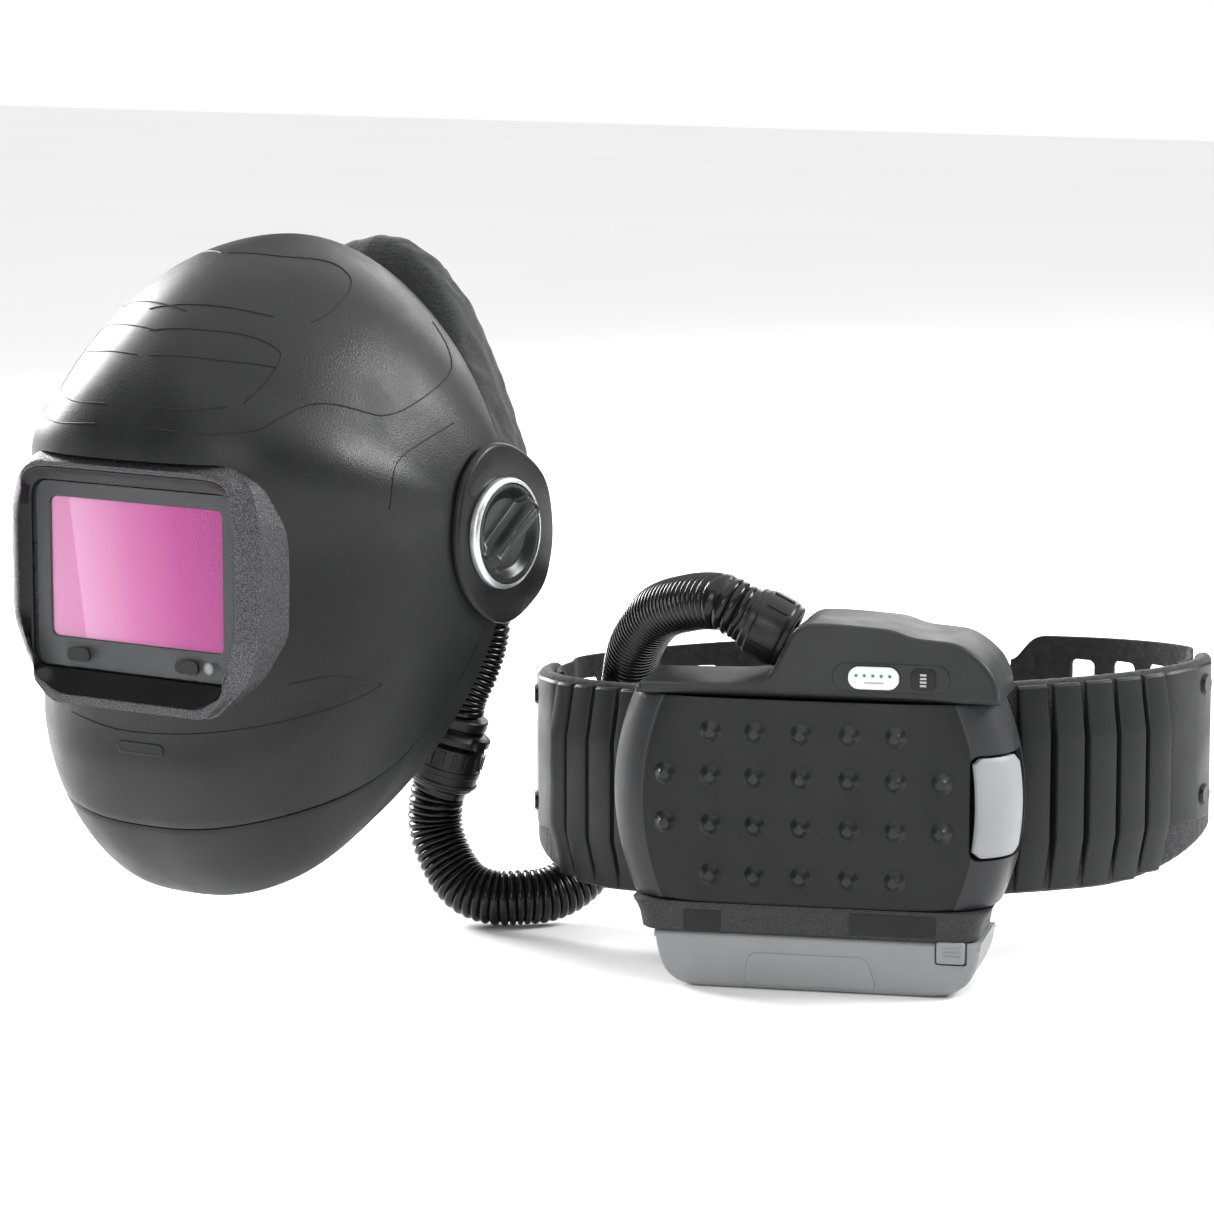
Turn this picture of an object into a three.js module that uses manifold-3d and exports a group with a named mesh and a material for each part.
// Powered air respirator: a flip-up welding helmet on an inner head harness, a corrugated air hose,
// and a battery blower unit on a padded waist belt. Millimetres, +Z up. The origin is the midpoint
// between the two shield pivots; the wearer faces -Y and the wearer's left is +X.
import * as THREE from "three";
import { mergeVertices } from "three/addons/utils/BufferGeometryUtils.js";
import Module from "manifold-3d";

const wasm = await Module();
wasm.setup();

const GAP = 0.4; // clearance between touching parts
const DEG = Math.PI / 180;

// ---- helmet driving dimensions ----
const PIVOT_X = 116; // outer face of the shield beside a pivot
const PIVOT_HOLE = 34; // radius left open round the pivot axis
const SHIELD_WALL = 3;
const RIM_ANGLE = 104; // rear edge of the shield, degrees above the forward axis
const CHIN_ANGLE = -59; // lowest edge of the shield at the middle
const JAW_SWEEP = 42; // how much further the lower edge runs back beside a pivot
const APRON_BAND = 14; // height of the throat apron in degrees
const BEZEL = { top: 45, bottom: -83, halfWidth: 82, chamfer: 27, rear: -118, front: -158 };
const WINDOW = { halfWidth: 67, top: 31, bottom: -66 }; // opening in the bezel
const LENS = { halfWidth: 57, top: 22, bottom: -50 }; // viewing area of the filter
const LENS_Y = -152; // front face of the cover plate
const PLATE_X = PIVOT_X + GAP; // inner face of a pivot plate
const KNOB_RADIUS = 26;
const RING_RADIUS = 29;

// ---- inner helmet driving dimensions ----
const VISOR_RADIUS = 121;
const FRAME_RADIUS = 116;
const FRAME_X = 100;
const COVER_RADIUS = 131;
const COVER_X = 106;
const COVER_HEM = 200; // lower edge of the head cover at the nape, degrees round the pivot axis
const BAND = { halfWidth: 80, halfDepth: 88, height: 26, wall: 3, centreY: -2, lift: 14.5, slope: -0.284 };

// ---- blower driving dimensions, in the blower's own frame: origin under its middle ----
const BLOWER_PLACE = [234.4, 125.2, -245];
const BLOWER_TURN = 22.5 * DEG;
const BATTERY_TOP = 29.5;
const CASE_BOTTOM = 46;
const CASE_TOP = 156;
const CASE_HALF = 97; // half width at the top and bottom edges
const CASE_BULGE = 12; // extra half width at mid height
const CASE_FRONT = -33;
const CASE_SPLIT = 12;
const CASE_BACK = 34;
const COVER_WALL = 2.6;

// ---- belt driving dimensions, in the blower's frame ----
const BELT = { x: 6, y: 138.5, a: 189, b: 100, top: 151, wall: 10, tilt: 0.05 };
const FLAP_WALL = 3;
const STRAP_WALL = 2.6;

// ---- hose ----
const HOSE_RADIUS = 15.5;
const UPPER_HOSE_RADIUS = 13;

const materials = {
  shell: { color: 0x1b1c1e, roughness: 0.5 },
  bezel: { color: 0x232426, roughness: 0.55 },
  dark: { color: 0x0d0d0e, roughness: 0.35 },
  glass: { color: 0xd6409f, roughness: 0.1, metalness: 0.4 },
  clear: { color: 0xc8d4da, roughness: 0.05, transparent: true, opacity: 0.3 },
  fabric: { color: 0x2a2b2d, roughness: 0.95 },
  hose: { color: 0x101011, roughness: 0.3 },
  blower: { color: 0x3a3b3d, roughness: 0.55 },
  battery: { color: 0x77787a, roughness: 0.6 },
  latch: { color: 0xa4a5a7, roughness: 0.5 },
  leather: { color: 0x2c2b2b, roughness: 0.9 },
  filter: { color: 0xe6e2d6, roughness: 0.95 },
  metal: { color: 0xb4b6ba, roughness: 0.3, metalness: 0.9 },
  board: { color: 0x1f5c38, roughness: 0.6 },
};

const root = new THREE.Group();
const helmet = new THREE.Group();
const shield = new THREE.Group();
const blower = new THREE.Group();
blower.position.set(...BLOWER_PLACE);
blower.rotation.z = BLOWER_TURN;
helmet.add(shield);
root.add(helmet, blower);

function part(group, name, material, geometry) {
  const mesh = new THREE.Mesh(geometry, new THREE.MeshStandardMaterial(materials[material]));
  mesh.name = name;
  group.add(mesh);
  return mesh;
}

// ---- geometry helpers ----
const lerp = (a, b, t) => a + (b - a) * t;
const range = (count) => Array.from({ length: count }, (_, i) => i);
const steps = (count) => range(count + 1).map((i) => i / count);

function positionsOnly(geometry) {
  const flat = geometry.index ? geometry.toNonIndexed() : geometry.clone();
  const bare = new THREE.BufferGeometry();
  bare.setAttribute("position", flat.getAttribute("position"));
  return mergeVertices(bare, 1e-3);
}

function solid(geometry) {
  const merged = positionsOnly(geometry);
  return new wasm.Manifold(
    new wasm.Mesh({
      numProp: 3,
      vertProperties: merged.attributes.position.array,
      triVerts: new Uint32Array(merged.index.array),
    }),
  );
}

function fromSolid(body) {
  const mesh = body.getMesh();
  const geometry = new THREE.BufferGeometry();
  geometry.setAttribute("position", new THREE.BufferAttribute(mesh.vertProperties, 3));
  geometry.setIndex(new THREE.BufferAttribute(mesh.triVerts, 1));
  return geometry;
}

const cut = (base, ...tools) =>
  fromSolid(tools.reduce((left, tool) => left.subtract(solid(tool)), solid(base)));
const join = (base, ...more) =>
  fromSolid(more.reduce((left, piece) => left.add(solid(piece)), solid(base)));

function signedVolume(points, faces) {
  const cross = new THREE.Vector3();
  return faces.reduce((sum, [a, b, c]) => {
    cross.crossVectors(points[b], points[c]);
    return sum + points[a].dot(cross);
  }, 0);
}

function closedGeometry(points, faces) {
  const outward = signedVolume(points, faces) > 0;
  const ordered = faces.flatMap(([a, b, c]) => (outward ? [a, b, c] : [a, c, b]));
  const geometry = new THREE.BufferGeometry().setFromPoints(points);
  geometry.setIndex(ordered);
  return geometry;
}

// A closed wall between two grids of points with the same rows and columns.
function wall(outer, inner) {
  const rows = outer.length;
  const columns = outer[0].length;
  const count = rows * columns;
  const faces = [];
  const quad = (a, b, c, d) => faces.push([a, b, c], [a, c, d]);
  const at = (i, j) => i * columns + j;
  for (let i = 0; i < rows - 1; i++) {
    for (let j = 0; j < columns - 1; j++) {
      quad(at(i, j), at(i + 1, j), at(i + 1, j + 1), at(i, j + 1));
      quad(count + at(i, j), count + at(i, j + 1), count + at(i + 1, j + 1), count + at(i + 1, j));
    }
  }
  for (let j = 0; j < columns - 1; j++) {
    const last = rows - 1;
    quad(at(0, j + 1), count + at(0, j + 1), count + at(0, j), at(0, j));
    quad(at(last, j), count + at(last, j), count + at(last, j + 1), at(last, j + 1));
  }
  for (let i = 0; i < rows - 1; i++) {
    const last = columns - 1;
    quad(at(i, 0), count + at(i, 0), count + at(i + 1, 0), at(i + 1, 0));
    quad(at(i + 1, last), count + at(i + 1, last), count + at(i, last), at(i, last));
  }
  return closedGeometry([...outer.flat(), ...inner.flat()], faces);
}

function box(width, depth, height, x = 0, y = 0, z = 0) {
  return new THREE.BoxGeometry(width, depth, height).translate(x, y, z);
}

// A cylinder along an axis ("x", "y" or "z") with its middle at the given point.
function rod(axis, radius, length, x = 0, y = 0, z = 0, sides = 24) {
  const geometry = new THREE.CylinderGeometry(radius, radius, length, sides);
  if (axis === "x") geometry.rotateZ(Math.PI / 2);
  if (axis === "z") geometry.rotateX(Math.PI / 2);
  return geometry.translate(x, y, z);
}

function outline(points) {
  return new THREE.Shape(points.map(([x, y]) => new THREE.Vector2(x, y)));
}

// A rectangle with rounded corners centred on a point.
function roundedRectangle(width, height, radius, x = 0, y = 0) {
  const [left, right] = [x - width / 2, x + width / 2];
  const [low, high] = [y - height / 2, y + height / 2];
  const shape = new THREE.Shape();
  shape.moveTo(left + radius, low);
  shape.absarc(right - radius, low + radius, radius, -Math.PI / 2, 0);
  shape.absarc(right - radius, high - radius, radius, 0, Math.PI / 2);
  shape.absarc(left + radius, high - radius, radius, Math.PI / 2, Math.PI);
  shape.absarc(left + radius, low + radius, radius, Math.PI, Math.PI * 1.5);
  return shape;
}

// Extrudes a shape drawn in X and Z between two values of Y.
function extrudeY(shape, from, to, curveSegments = 3) {
  const geometry = new THREE.ExtrudeGeometry(shape, {
    depth: Math.abs(to - from),
    bevelEnabled: false,
    curveSegments,
  });
  return geometry.rotateX(Math.PI / 2).translate(0, Math.max(from, to), 0);
}

// Extrudes a shape drawn in X and Y between two heights.
function extrudeZ(shape, from, to, curveSegments = 3) {
  const options = { depth: to - from, bevelEnabled: false, curveSegments };
  return new THREE.ExtrudeGeometry(shape, options).translate(0, 0, from);
}

function tube(points, radius, count, sides, hollow = 0) {
  const section = new THREE.Shape();
  section.absarc(0, 0, radius, 0, Math.PI * 2);
  if (hollow) {
    const bore = new THREE.Path();
    bore.absarc(0, 0, hollow, 0, Math.PI * 2, true);
    section.holes.push(bore);
  }
  const path = new THREE.CatmullRomCurve3(points.map((p) => new THREE.Vector3(...p)));
  return new THREE.ExtrudeGeometry(section, {
    steps: count,
    curveSegments: sides / 2,
    extrudePath: path,
    bevelEnabled: false,
  });
}

// ---- polar shells: surfaces swept about the pivot axis ----
const forward = (angle) => [-Math.cos(angle * DEG), Math.sin(angle * DEG)];

// A point of a section whose outline is |x/w|^n + |r/R|^n = 1, stopped at radius endRadius.
function sectionPoint(angle, share, { radius, power, endX, endRadius }) {
  const limit = Math.acos((endRadius / radius) ** (power / 2));
  const turn = limit * Math.abs(share);
  const reach = endX / (1 - (endRadius / radius) ** power) ** (1 / power);
  const x = reach * Math.sin(turn) ** (2 / power) * Math.sign(share);
  const r = radius * Math.cos(turn) ** (2 / power);
  const [y, z] = forward(angle);
  return new THREE.Vector3(x, r * y, r * z);
}

// A curve through [angle, value] knots.
function knots(pairs) {
  const curve = new THREE.SplineCurve(pairs.map(([a, v]) => new THREE.Vector2(a, v)));
  const samples = curve.getPoints(pairs.length * 8);
  return (angle) => {
    const after = samples.findIndex((p) => p.x >= angle);
    if (after <= 0) return (after ? samples.at(-1) : samples[0]).y;
    const [low, high] = [samples[after - 1], samples[after]];
    return lerp(low.y, high.y, (angle - low.x) / (high.x - low.x));
  };
}

function polarWall(rows, columns, thickness, angleAt, sectionAt) {
  const shares = steps(columns).map((t) => t * 2 - 1);
  const grid = (inset) =>
    steps(rows).map((t) =>
      shares.map((share) => {
        const angle = angleAt(t, share);
        const section = sectionAt(angle);
        const shrunk = { ...section, radius: section.radius - inset, endX: section.endX - inset };
        return sectionPoint(angle, share, shrunk);
      }),
    );
  return wall(grid(0), grid(thickness));
}

// ---- welding shield ----
const shieldRadius = knots([
  [-101, 168], [-80, 188], [-66, 204], [-59, 216], [-48, 208], [-38, 194], [-30, 178],
  [-15, 164], [0, 160], [16, 168], [24, 170], [40, 171], [55, 166], [72, 158], [90, 148], [108, 136],
]);
const shieldPower = knots([
  [-101, 2.0], [-66, 2.5], [-48, 2.75], [-30, 2.7], [0, 2.5], [20, 2.75], [34, 2.2], [50, 1.95], [72, 1.85],
  [108, 1.5],
]);
const shieldSection = (angle) => ({
  radius: shieldRadius(angle),
  power: shieldPower(angle),
  endX: PIVOT_X,
  endRadius: PIVOT_HOLE,
});

function lowerEdge(share) {
  return CHIN_ANGLE - JAW_SWEEP * Math.abs(share) ** 3;
}

function shieldWall(rows, columns, low, high) {
  const angleAt = (t, share) => lerp(low(share), high(share), t);
  return polarWall(rows, columns, SHIELD_WALL, angleAt, shieldSection);
}

// The bezel's outline from the front: square shoulders and a chamfered chin.
function bezelOutline(grow) {
  const half = BEZEL.halfWidth + grow;
  const top = BEZEL.top + grow;
  const low = BEZEL.bottom - grow;
  const rise = low + BEZEL.chamfer + 14;
  return outline([
    [-half + 20, top], [-half + 6, top - 10], [-half, top - 30], [-half, rise], [-half + 10, rise - 22],
    [-half + BEZEL.chamfer + 4, low], [half - BEZEL.chamfer - 4, low], [half - 10, rise - 22],
    [half, rise], [half, top - 30], [half - 6, top - 10], [half - 20, top],
  ]);
}

function makeShield() {
  const seam = (share) => lowerEdge(share) + APRON_BAND;
  const shell = shieldWall(15, 18, seam, () => RIM_ANGLE);
  const opening = extrudeY(bezelOutline(GAP), BEZEL.rear + 6, -260);
  part(shield, "shield_shell", "shell", cut(shell, opening));
  const apron = shieldWall(2, 18, lowerEdge, (share) => seam(share) - 0.2);
  part(shield, "throat_apron", "shell", apron);
}

function makeBezel() {
  const frame = bezelOutline(0);
  const { halfWidth, top, bottom } = WINDOW;
  const window = roundedRectangle(2 * halfWidth, top - bottom, 9, 0, (top + bottom) / 2);
  frame.holes.push(new THREE.Path(window.getPoints(4)));
  part(shield, "front_bezel", "bezel", extrudeY(frame, BEZEL.rear, BEZEL.front));
}

// The auto-darkening filter: a case behind the window, its glass and the clear plate before it.
function makeFilter() {
  const middle = (WINDOW.top + WINDOW.bottom) / 2;
  const width = 2 * WINDOW.halfWidth - 2;
  const height = WINDOW.top - WINDOW.bottom - 2;
  const slab = (grow, from, to) =>
    extrudeY(roundedRectangle(width - grow, height - grow, 8, 0, middle), from, to);
  const lensMiddle = (LENS.top + LENS.bottom) / 2;
  const lensHeight = LENS.top - LENS.bottom;
  const lens = (grow, from, to) => {
    const shape = roundedRectangle(2 * LENS.halfWidth + grow, lensHeight + grow, 4, 0, lensMiddle);
    return extrudeY(shape, from, to);
  };
  const back = LENS_Y + 24;
  const pocket = lens(2 * GAP, LENS_Y + 10, LENS_Y - 20);
  const sight = lens(-8, back + 5, LENS_Y);
  const buttonAt = [40, back, WINDOW.top - 6];
  const well = rod("y", 6.5, 6, ...buttonAt, 14);
  part(shield, "filter_case", "dark", cut(slab(0, back, LENS_Y + 2 + GAP), pocket, sight, well));
  part(shield, "filter_glass", "glass", lens(0, LENS_Y + 9.6, LENS_Y + 4));
  part(shield, "cover_plate", "clear", slab(0, LENS_Y + 2, LENS_Y));
  for (const [side, sign] of [["left", 1], ["right", -1]]) {
    const pill = roundedRectangle(15, 7, 3.4, sign * 36, LENS.bottom - 8);
    part(shield, `arc_sensor_${side}`, "dark", extrudeY(pill, LENS_Y - GAP, LENS_Y - 1.4));
  }
  part(shield, "shade_button", "latch", rod("y", 6, 4, ...buttonAt, 14).translate(0, GAP, 0));
}

// ---- pivots: plate on the shield, bolt on the harness, knob and ring on the bolt ----
function pivotPlate(sign) {
  const rim = outline([
    [-27, -10], [-20, -28], [-4, -44], [12, -47], [36, -34], [45, -16], [46, 4],
    [40, 24], [24, 38], [6, 45], [-8, 40], [-22, 24], [-27, 6],
  ]);
  const hole = new THREE.Path();
  hole.absarc(0, 0, 7, 0, Math.PI * 2, true);
  rim.holes.push(hole);
  const plate = extrudeZ(rim, 0, 4);
  plate.rotateY(Math.PI / 2).rotateX(Math.PI / 2).translate(PLATE_X, 0, 0);
  return sign > 0 ? plate : mirrored(plate);
}

function mirrored(geometry) {
  const flipped = positionsOnly(geometry).scale(-1, 1, 1);
  const order = flipped.index.array;
  for (let i = 0; i < order.length; i += 3) {
    [order[i], order[i + 1]] = [order[i + 1], order[i]];
  }
  return flipped;
}

function makePivots() {
  for (const [side, sign] of [["left", 1], ["right", -1]]) {
    part(shield, `pivot_plate_${side}`, "dark", pivotPlate(sign));
    const face = PLATE_X + 4 + GAP;
    const collar = new THREE.LatheGeometry(
      [[KNOB_RADIUS + GAP, 0], [RING_RADIUS, 0], [RING_RADIUS, 3], [KNOB_RADIUS + GAP, 5]]
        .concat([[KNOB_RADIUS + GAP, 0]])
        .map(([r, h]) => new THREE.Vector2(r, h)),
      24,
    );
    collar.rotateZ(-Math.PI / 2).translate(face, 0, 0);
    const knob = join(
      rod("x", KNOB_RADIUS, 5, face + 2.5, 0, 0, 28),
      box(7, 44, 8, face + 7, 0, 0).rotateX(0.62),
    );
    const bolt = join(
      rod("x", 5, face - GAP - 84, (face - GAP + 84) / 2, 0, 0, 16),
      rod("x", 14, 4, 86, 0, 0, 20),
    );
    const place = (geometry) => (sign > 0 ? geometry : mirrored(geometry));
    part(helmet, `knob_ring_${side}`, "metal", place(collar));
    part(helmet, `pivot_knob_${side}`, "dark", place(knob));
    part(helmet, `pivot_bolt_${side}`, "metal", place(bolt));
  }
}

// ---- inner helmet ----
const innerSection = (radius, power, endX, endRadius) => () => ({ radius, power, endX, endRadius });

function makeInnerHelmet() {
  const between = (low, high) => (t) => lerp(low, high, t);
  const frame = polarWall(8, 12, 2.6, between(-62, 58), innerSection(FRAME_RADIUS, 2.7, FRAME_X, 42));
  const view = roundedRectangle(144, 84, 12, 0, -4);
  part(helmet, "inner_frame", "dark", cut(frame, extrudeY(view, -60, -150)));
  const visor = polarWall(6, 10, 2, between(-30, 26), innerSection(VISOR_RADIUS, 2.7, 93, 80));
  part(helmet, "clear_visor", "clear", visor);
  const sealRadius = knots([[-82, 104], [-63, 115]]);
  const sealSection = (angle) => ({ radius: sealRadius(angle), power: 2.4, endX: 98, endRadius: 44 });
  part(helmet, "face_seal", "fabric", polarWall(2, 12, 3, between(-82, -62.5), sealSection));
}

const coverRadius = knots([
  [94, COVER_RADIUS], [150, COVER_RADIUS], [180, COVER_RADIUS - 2], [205, 124],
]);
const coverPower = knots([[94, 1.4], [156, 1.45], [180, 1.7], [205, 2.1]]);
const coverSection = (angle) => ({
  radius: coverRadius(angle),
  power: coverPower(angle),
  endX: COVER_X,
  endRadius: 40,
});

function makeHeadCover() {
  const angleAt = (t) => lerp(94, COVER_HEM, t);
  part(helmet, "head_cover", "fabric", polarWall(9, 12, 2, angleAt, coverSection));
}

// The duct runs up inside the head cover, over the crown to the brow.
const DUCT = { low: 109, high: 119, halfWidth: 20, from: 62, to: 204, wall: 1.6 };
const PORT = { y: 146, z: -61, radius: 12, bore: 10, foot: -73.4 };

function makeAirPath() {
  const arc = (radius, x) =>
    steps(14).map((t) => {
      const [y, z] = forward(lerp(DUCT.from, DUCT.to, t));
      return new THREE.Vector3(x, radius * y, radius * z);
    });
  const ring = (low, high, half) => wall(
    [arc(high, -half), arc(high, half)],
    [arc(low, -half), arc(low, half)],
  );
  const { low, high, halfWidth } = DUCT;
  const hollow = (radius, x) =>
    steps(14).map((t) => {
      const [y, z] = forward(lerp(DUCT.from - 2, DUCT.to + 2, t));
      return new THREE.Vector3(x, radius * y, radius * z);
    });
  const inside = wall(
    [hollow(high - DUCT.wall, -halfWidth + DUCT.wall), hollow(high - DUCT.wall, halfWidth - DUCT.wall)],
    [hollow(low + DUCT.wall, -halfWidth + DUCT.wall), hollow(low + DUCT.wall, halfWidth - DUCT.wall)],
  );
  part(helmet, "air_duct", "dark", cut(ring(low, high, halfWidth), inside));
  part(helmet, "hose_port", "dark", hosePort());
}

// A square elbow: a throat under the duct's end, back through the nape, down to the hose.
function hosePort() {
  const { y, z, radius, bore, foot } = PORT;
  const level = (r, from, to) => rod("y", r, to - from, 0, (from + to) / 2, z, 12);
  const drop = (r, from, to) => rod("z", r, from - to, 2, y, (from + to) / 2, 12);
  const outside = join(level(radius, 98, y + radius), drop(radius, z + radius, foot));
  const throat = box(24, 6, 20, 0, 105, z + bore);
  const inside = join(level(bore, 100, y + bore), drop(bore, z + bore, foot - 1), throat);
  return fromSolid(solid(outside).subtract(solid(inside)));
}

// The headband's plane slopes down from the forehead to the nape.
const bandCentre = (y) => BAND.lift + BAND.slope * y;

function sloped(geometry) {
  const lean = new THREE.Matrix4().makeShear(0, 0, 0, BAND.slope, 0, 0);
  return geometry.applyMatrix4(lean).translate(0, 0, BAND.lift);
}

function ellipseRing(halfWidth, halfDepth, wallThickness, low, high) {
  const shape = new THREE.Shape();
  shape.absellipse(0, BAND.centreY, halfWidth, halfDepth, 0, Math.PI * 2);
  const inner = new THREE.Path();
  const [a, b] = [halfWidth - wallThickness, halfDepth - wallThickness];
  inner.absellipse(0, BAND.centreY, a, b, 0, Math.PI * 2, true);
  shape.holes.push(inner);
  return sloped(extrudeZ(shape, low, high, 16));
}

// A strap that arches from one side of the band to the other, standing on its top edge.
function crownStrap(y, halfSpan, crown, width) {
  const low = bandCentre(y - width / 2) + BAND.height / 2 + GAP;
  const arch = (inset) =>
    steps(14).map((t) => {
      const turn = Math.PI * t;
      const x = -(halfSpan - inset) * Math.cos(turn);
      const z = low + (crown - inset - low) * Math.sin(turn);
      return [x, z];
    });
  const edge = (points, at) => points.map(([x, z]) => new THREE.Vector3(x, at, z));
  const [outer, inner] = [arch(0), arch(2.4)];
  return wall(
    [edge(outer, y - width / 2), edge(outer, y + width / 2)],
    [edge(inner, y - width / 2), edge(inner, y + width / 2)],
  );
}

function makeHarness() {
  const { halfWidth, halfDepth, height, wall: thick, centreY } = BAND;
  const ring = ellipseRing(halfWidth, halfDepth, thick, -height / 2, height / 2);
  const arms = [-1, 1].map((sign) => box(thick, 24, 30, sign * (halfWidth - thick / 2), centreY, -1));
  part(helmet, "headband", "dark", join(ring, ...arms));
  const padRing = ellipseRing(halfWidth - thick - GAP, halfDepth - thick - GAP, 6, -16, 16);
  const pad = cut(padRing, box(300, 300, 200, 0, centreY + 150 - 55, 0));
  part(helmet, "sweatband", "fabric", pad);
  part(helmet, "crown_strap_front", "dark", crownStrap(-22, 77.6, 101, 20));
  part(helmet, "crown_strap_rear", "dark", crownStrap(30, 74.2, 98, 20));
  const rear = centreY + halfDepth + GAP;
  const nape = bandCentre(rear);
  part(helmet, "ratchet_housing", "dark", box(58, 12, 32, 0, rear + 6, nape));
  const teeth = 20;
  const rim = range(teeth * 2).map((i) => {
    const radius = i % 2 ? 17 : 15.5;
    const turn = (i * Math.PI) / teeth;
    return [radius * Math.cos(turn), nape + radius * Math.sin(turn)];
  });
  const wheel = extrudeY(outline(rim), rear + 12 + GAP, rear + 19);
  part(helmet, "ratchet_knob", "dark", wheel);
}

// ---- hose ----
// The short hose from the helmet's port to the coupling, in the helmet's frame.
const UPPER_ROUTE = [
  [2, 146, -74], [2, 146, -80], [0, 144.5, -92], [-3, 141, -105], [-7.3, 137.2, -117.5],
  [-9, 136.5, -126],
];
const COUPLING = { top: [-9.1, 136.4, -126.6], foot: [-20.6, 132.2, -167.6] };
// The main hose from the coupling, under the belt and up inside it to the outlet, in the blower's frame.
const HOSE_ROUTE = [
  [-233.07, 104.06, 76.83], [-235.7, 104.17, 68], [-236, 104.2, 52], [-228.5, 99.5, 34.5], [-216, 94, 21],
  [-200.5, 92, 16], [-185, 95, 16], [-171, 102, 16.8], [-159, 113, 22], [-149.5, 126, 34],
  [-143.5, 136, 54], [-140, 139, 80], [-136.5, 134, 105], [-129.4, 122, 131],
  [-117.8, 92, 162], [-97.5, 56, 185.8], [-73.3, 26, 197], [-55, 9, 200.6], [-46.6, 6, 198.2],
  [-37.6, 6, 193.7],
];
const OUTLET = { foot: [-15.6, 6, 182.7], end: [-37, 6, 193.4] };

function along(geometry, from, to) {
  const start = new THREE.Vector3(...from);
  const axis = new THREE.Vector3(...to).sub(start).normalize();
  const turn = new THREE.Quaternion().setFromUnitVectors(new THREE.Vector3(0, 1, 0), axis);
  return geometry.applyQuaternion(turn).translate(start.x, start.y, start.z);
}

function lathe(profile, sides) {
  const closed = [...profile, profile[0]];
  return new THREE.LatheGeometry(closed.map(([r, h]) => new THREE.Vector2(r, h)), sides);
}

function makeHose() {
  part(root, "upper_hose", "hose", tube(UPPER_ROUTE, UPPER_HOSE_RADIUS, 8, 10));
  const ends = [COUPLING.foot, COUPLING.top];
  const length = new THREE.Vector3(...ends[0]).distanceTo(new THREE.Vector3(...ends[1]));
  const sleeve = lathe(
    [[10, 0], [18, 0], [20, 3], [19, 25], [15, 27], [15, length - 8], [16.5, length - 6],
      [16.5, length - 1], [15, length - 0.5], [10, length - 0.5]],
    14,
  );
  part(root, "coupling_body", "dark", along(sleeve, ...ends));
  const ring = lathe([[15 + GAP, 27.6], [20.5, 27.6], [20.5, 31.5], [15 + GAP, 34.4]], 14);
  const tab = box(8, 6.6, 7, 20, 31, 0);
  const collar = cut(join(ring, tab), rod("y", 15 + GAP, 30, 0, 31, 0, 14));
  part(root, "coupling_collar", "dark", along(collar, ...ends));
  part(blower, "main_hose", "hose", tube(HOSE_ROUTE, HOSE_RADIUS, 52, 8));
  const reach = new THREE.Vector3(...OUTLET.end).distanceTo(new THREE.Vector3(...OUTLET.foot));
  const outletSleeve = lathe(
    [[11, 0], [17.5, 0], [18.5, 4], [18.5, reach - 4], [17.5, reach], [11, reach]],
    14,
  );
  part(blower, "outlet_sleeve", "dark", along(outletSleeve, OUTLET.foot, OUTLET.end));
}

// ---- blower ----
const caseHalf = (z) => {
  const middle = (CASE_BOTTOM + CASE_TOP) / 2;
  const share = (z - middle) / (CASE_TOP - middle);
  return CASE_HALF + CASE_BULGE * (1 - share * share);
};

// A U-shaped wall in plan, closed at the front (sign -1) or the back (sign 1).
function caseWall(low, high, front, thickness, sign) {
  const at = (inset) =>
    steps(6).map((v) => {
      const z = lerp(low, high, v);
      const half = caseHalf(z) - inset;
      const reach = Math.abs(front - CASE_SPLIT) - inset;
      return steps(16).map((u) => {
        const turn = Math.PI * (u - 0.5);
        const x = half * Math.sign(turn) * Math.abs(Math.sin(turn)) ** (2 / 4.5);
        const y = CASE_SPLIT + sign * (GAP / 2 + reach * Math.cos(turn) ** (2 / 3.2));
        return new THREE.Vector3(x, y, z);
      });
    });
  return wall(at(0), at(thickness));
}

function makeBlowerCase() {
  const back = caseWall(CASE_BOTTOM + GAP, CASE_TOP - GAP, CASE_BACK, 3, 1);
  part(blower, "rear_case", "blower", back);
  const cover = caseWall(CASE_BOTTOM + GAP, CASE_TOP - GAP, CASE_FRONT, COVER_WALL, -1);
  const pocket = box(30, 60, 56, 100, -12, 101);
  part(blower, "filter_cover", "blower", cut(cover, pocket));
  const latchShape = outline([[77, 77], [104, 74], [108, 84], [108, 118], [104, 128], [77, 125]]);
  const latch = extrudeY(latchShape, -20, -17);
  part(blower, "cover_latch", "latch", latch);
}

function makeBaseFrame() {
  const low = BATTERY_TOP + GAP;
  const half = (z) => lerp(90, CASE_HALF - 1, (z - low) / (CASE_BOTTOM - low));
  const ring = (z, inset) => {
    const [w, d] = [half(z) - inset, 31 - inset];
    const corner = roundedRectangle(2 * w, 2 * d, 12, 0, 0).getPoints(3);
    return corner.slice(0, -1).map((p) => new THREE.Vector3(p.x, p.y + 1, z));
  };
  part(blower, "base_frame", "blower", loft([ring(low, 0), ring(CASE_BOTTOM, 0)]));
}

// A closed solid through rings of points that have the same count.
function loft(rings) {
  const count = rings[0].length;
  const points = rings.flat();
  const faces = [];
  for (let i = 0; i < rings.length - 1; i++) {
    for (let j = 0; j < count; j++) {
      const [a, b] = [i * count + j, i * count + ((j + 1) % count)];
      faces.push([a, b, b + count], [a, b + count, a + count]);
    }
  }
  for (const [ring, start] of [[rings[0], 0], [rings.at(-1), (rings.length - 1) * count]]) {
    const centre = points.length;
    const sum = ring.reduce((total, p) => total.add(p), new THREE.Vector3());
    points.push(sum.divideScalar(count));
    for (let j = 0; j < count; j++) {
      const [a, b] = [start + j, start + ((j + 1) % count)];
      faces.push(start ? [a, b, centre] : [b, a, centre]);
    }
  }
  return closedGeometry(points, faces);
}

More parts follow.
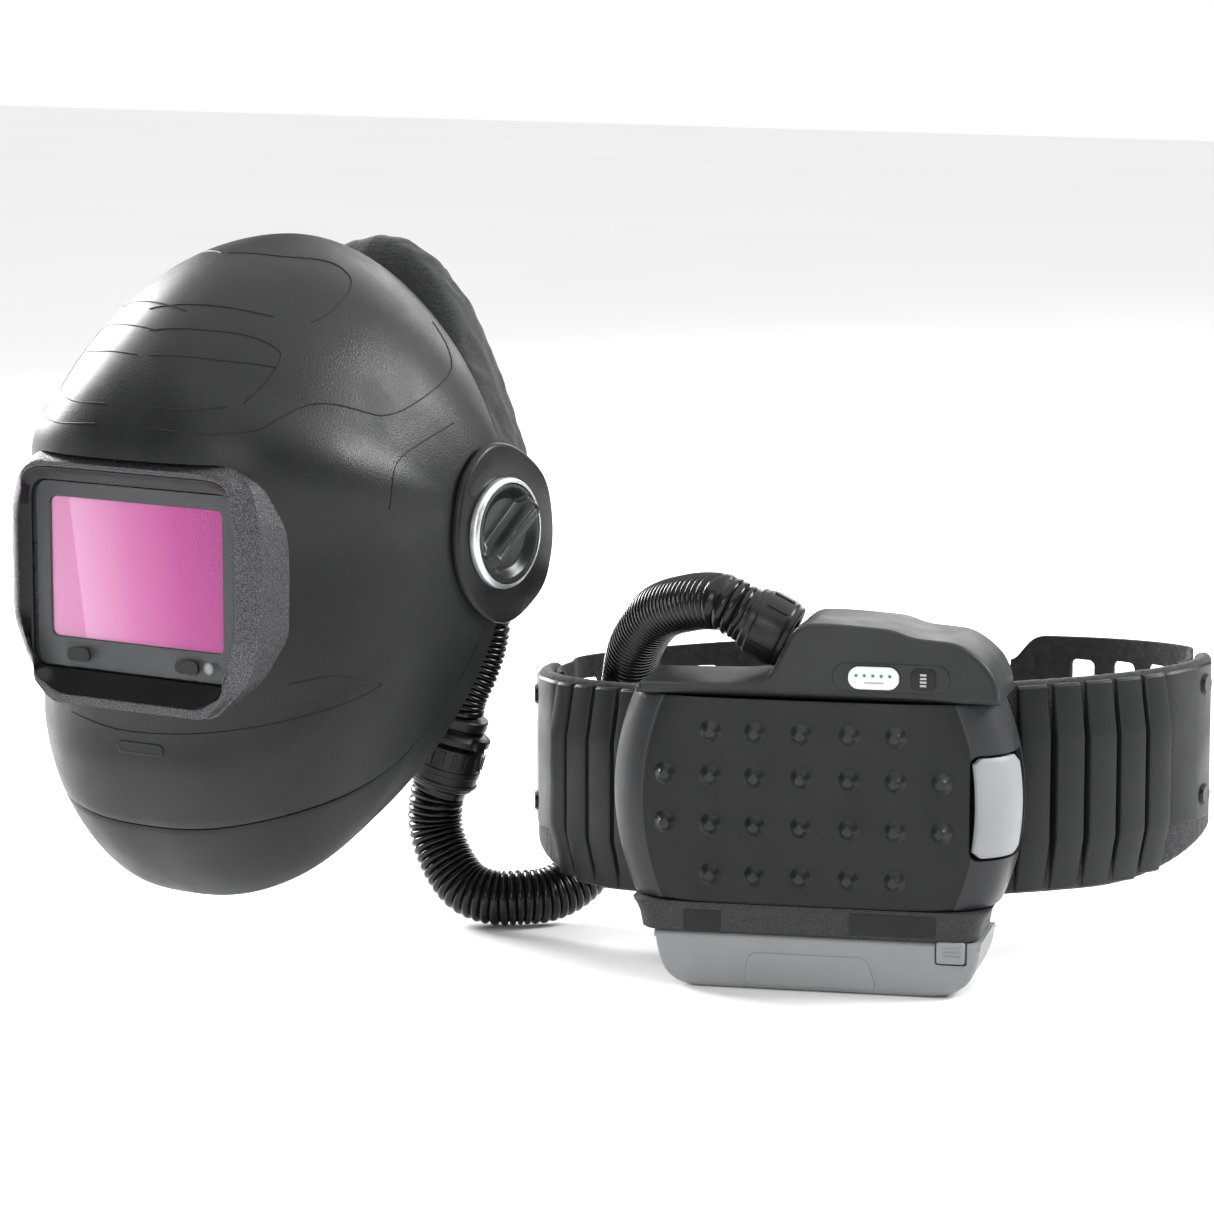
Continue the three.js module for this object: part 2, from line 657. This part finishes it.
// Front view of the top housing: low at the hose side, its slope square to the outlet.
function capOutline(inset) {
  const low = CASE_TOP - inset;
  return outline([
    [-92 + inset, low], [-92 + inset, low + 6], [-40, low + 7], [-28, low + 8.5], [-21, low + 12],
    [-7, low + 40], [16, low + 40], [44, low + 38], [54, low + 34], [78, low + 32],
    [88 - inset, low + 26], [96 - inset, low + 18], [100 - inset, low + 8], [100 - inset, low],
  ]);
}

function makeTopCap() {
  const solidCap = extrudeY(capOutline(0), -28, 31);
  const inside = extrudeY(capOutline(2.6), -25.4, 28.4);
  const spigot = along(rod("y", 15, 40, 0, 0, 0, 16), OUTLET.foot, OUTLET.end);
  part(blower, "top_cap", "blower", cut(solidCap, inside, spigot));
  const pad = roundedRectangle(27, 12, 5.8, 41, 168.5);
  part(blower, "power_button", "latch", extrudeY(pad, -28.4, -30.2));
  const lens = roundedRectangle(12, 11, 3, 62, 168.5);
  part(blower, "battery_gauge", "dark", extrudeY(lens, -28.4, -29.4));
}

function makeBattery() {
  const bottom = outline([
    [-82, BATTERY_TOP], [-81, 20], [-77, 8], [-70, 2], [-60, 0], [66, 0], [78, 2], [86, 8],
    [91, 20], [92, BATTERY_TOP],
  ]);
  const pack = extrudeY(bottom, -29, 31);
  const slot = box(16, 6, 14, 76, -29, 25);
  part(blower, "battery_pack", "battery", cut(pack, slot));
  part(blower, "battery_latch", "latch", box(15, 4, 10, 76, -29.2, 24.2));
}

const FAN = { x: 0, z: 98, radius: 38 };

function makeFan() {
  const { x, z, radius } = FAN;
  const shellOutline = new THREE.Shape();
  shellOutline.absarc(x, z, radius + 8, 0, Math.PI * 2);
  const bore = new THREE.Path();
  bore.absarc(x, z, radius + 5.5, 0, Math.PI * 2, true);
  shellOutline.holes.push(bore);
  const mouth = new THREE.Shape();
  mouth.absarc(x, z, radius + 8, 0, Math.PI * 2);
  const eye = new THREE.Path();
  eye.absarc(x, z, 24, 0, Math.PI * 2, true);
  mouth.holes.push(eye);
  const volute = join(extrudeY(shellOutline, 7, 29, 12), extrudeY(mouth, 5, 7.2, 12));
  part(blower, "volute", "dark", volute);
  part(blower, "motor", "metal", rod("y", 17, 7, x, 25.5, z, 24));
  const blades = range(9).map((i) => {
    const blade = box(16, 7.5, 2, 27, 0, 0).rotateY((i / 9) * Math.PI * 2);
    return blade.translate(x, 13.4, z);
  });
  const hub = join(rod("y", 7, 10, x, 14, z, 16), rod("y", radius, 2.2, x, 18, z, 28));
  part(blower, "impeller", "latch", join(hub, ...blades));
}

function makeFilters() {
  part(blower, "particle_filter", "filter", box(150, 20, 88, 0, -9, 101));
  part(blower, "prefilter", "filter", box(148, 3, 86, 0, -21.2, 101));
  part(blower, "spark_arrestor", "metal", box(146, 1.6, 84, 0, -24.2, 101));
  part(blower, "circuit_board", "board", box(60, 1.6, 24, 48, -22, 171));
  const plate = extrudeY(roundedRectangle(90, 60, 8, 0, 100), CASE_BACK + GAP, CASE_BACK + 4);
  part(blower, "belt_bracket", "dark", plate);
}

// ---- belt ----
// A point on the belt's ellipse; the whole belt leans a little to one side.
function beltPoint(angle, inset, z) {
  const { x, y, a, b, tilt } = BELT;
  const turn = angle * DEG;
  const across = (a - inset) * Math.cos(turn);
  return new THREE.Vector3(x + across, y + (b - inset) * Math.sin(turn), z + tilt * across);
}

// A band that follows the belt's ellipse between two angles.
function beltBand(from, to, count, insetAt, thickness, lowAt, highAt) {
  const edge = (extra) =>
    steps(count).map((t) => {
      const angle = lerp(from, to, t);
      const inset = insetAt(angle) + extra;
      return [beltPoint(angle, inset, lowAt(angle)), beltPoint(angle, inset, highAt(angle))];
    });
  return wall(edge(0), edge(thickness));
}

const smooth = (t) => {
  const c = Math.min(1, Math.max(0, t));
  return c * c * (3 - 2 * c);
};

const beltBottom = (angle) => lerp(35, 54, smooth((Math.abs(angle + 90) - 45) / 50));

// Mirrors an angle about the blower's middle for the left-hand side.
const handed = (sign, angle) => (sign > 0 ? angle : 180 - angle);

function makeBelt() {
  const pad = beltBand(-187, 7, 30, () => 0, BELT.wall, beltBottom, () => BELT.top);
  part(blower, "waist_pad", "fabric", pad);
  for (const [side, sign] of [["right", 1], ["left", -1]]) {
    const own = (angle) => handed(sign, angle);
    const inset = (angle) => lerp(BELT.wall + GAP, 0.5, smooth((own(angle) - 9) / 14));
    const low = (angle) => lerp(64, 84, smooth((own(angle) - 10) / 50));
    const high = (angle) => BELT.top - 1 - 14 * smooth((own(angle) - 60) / 9) ** 3;
    const flap = beltBand(own(-14), own(69), 14, inset, FLAP_WALL, low, high);
    const slots = [14, 24, 34, 44, 54].map((angle) => {
      const slot = box(15, 26, 34);
      slot.rotateZ((own(angle) + 90) * DEG);
      const place = beltPoint(own(angle), 2, 120);
      return slot.translate(place.x, place.y, place.z);
    });
    part(blower, `belt_flap_${side}`, "leather", cut(flap, ...slots));
    for (const [level, z, angle] of [["upper", 137, -9], ["lower", 76, -9]]) {
      const rivet = new THREE.CylinderGeometry(5, 6, 1.6, 14);
      const place = beltPoint(own(angle), -GAP - 1.1, z);
      const normal = Math.atan2(place.y - BELT.y, ((place.x - BELT.x) * BELT.b ** 2) / BELT.a ** 2);
      rivet.rotateZ(normal - Math.PI / 2);
      part(blower, `rivet_${side}_${level}`, "metal", rivet.translate(place.x, place.y, place.z));
    }
  }
  const strap = beltBand(58, 122, 16, () => -0.2 - STRAP_WALL, STRAP_WALL, () => 92, () => 132);
  part(blower, "back_strap", "fabric", strap);
  const buckle = roundedRectangle(56, 50, 8, BELT.x, 112);
  const back = BELT.y + BELT.b + STRAP_WALL + 0.8;
  part(blower, "strap_buckle", "dark", extrudeY(buckle, back, back + 8));
}

makeShield();
makeBezel();
makeFilter();
makePivots();
makeInnerHelmet();
makeHeadCover();
makeAirPath();
makeHarness();
makeHose();
makeBlowerCase();
makeBaseFrame();
makeTopCap();
makeBattery();
makeFan();
makeFilters();
makeBelt();

export default root;
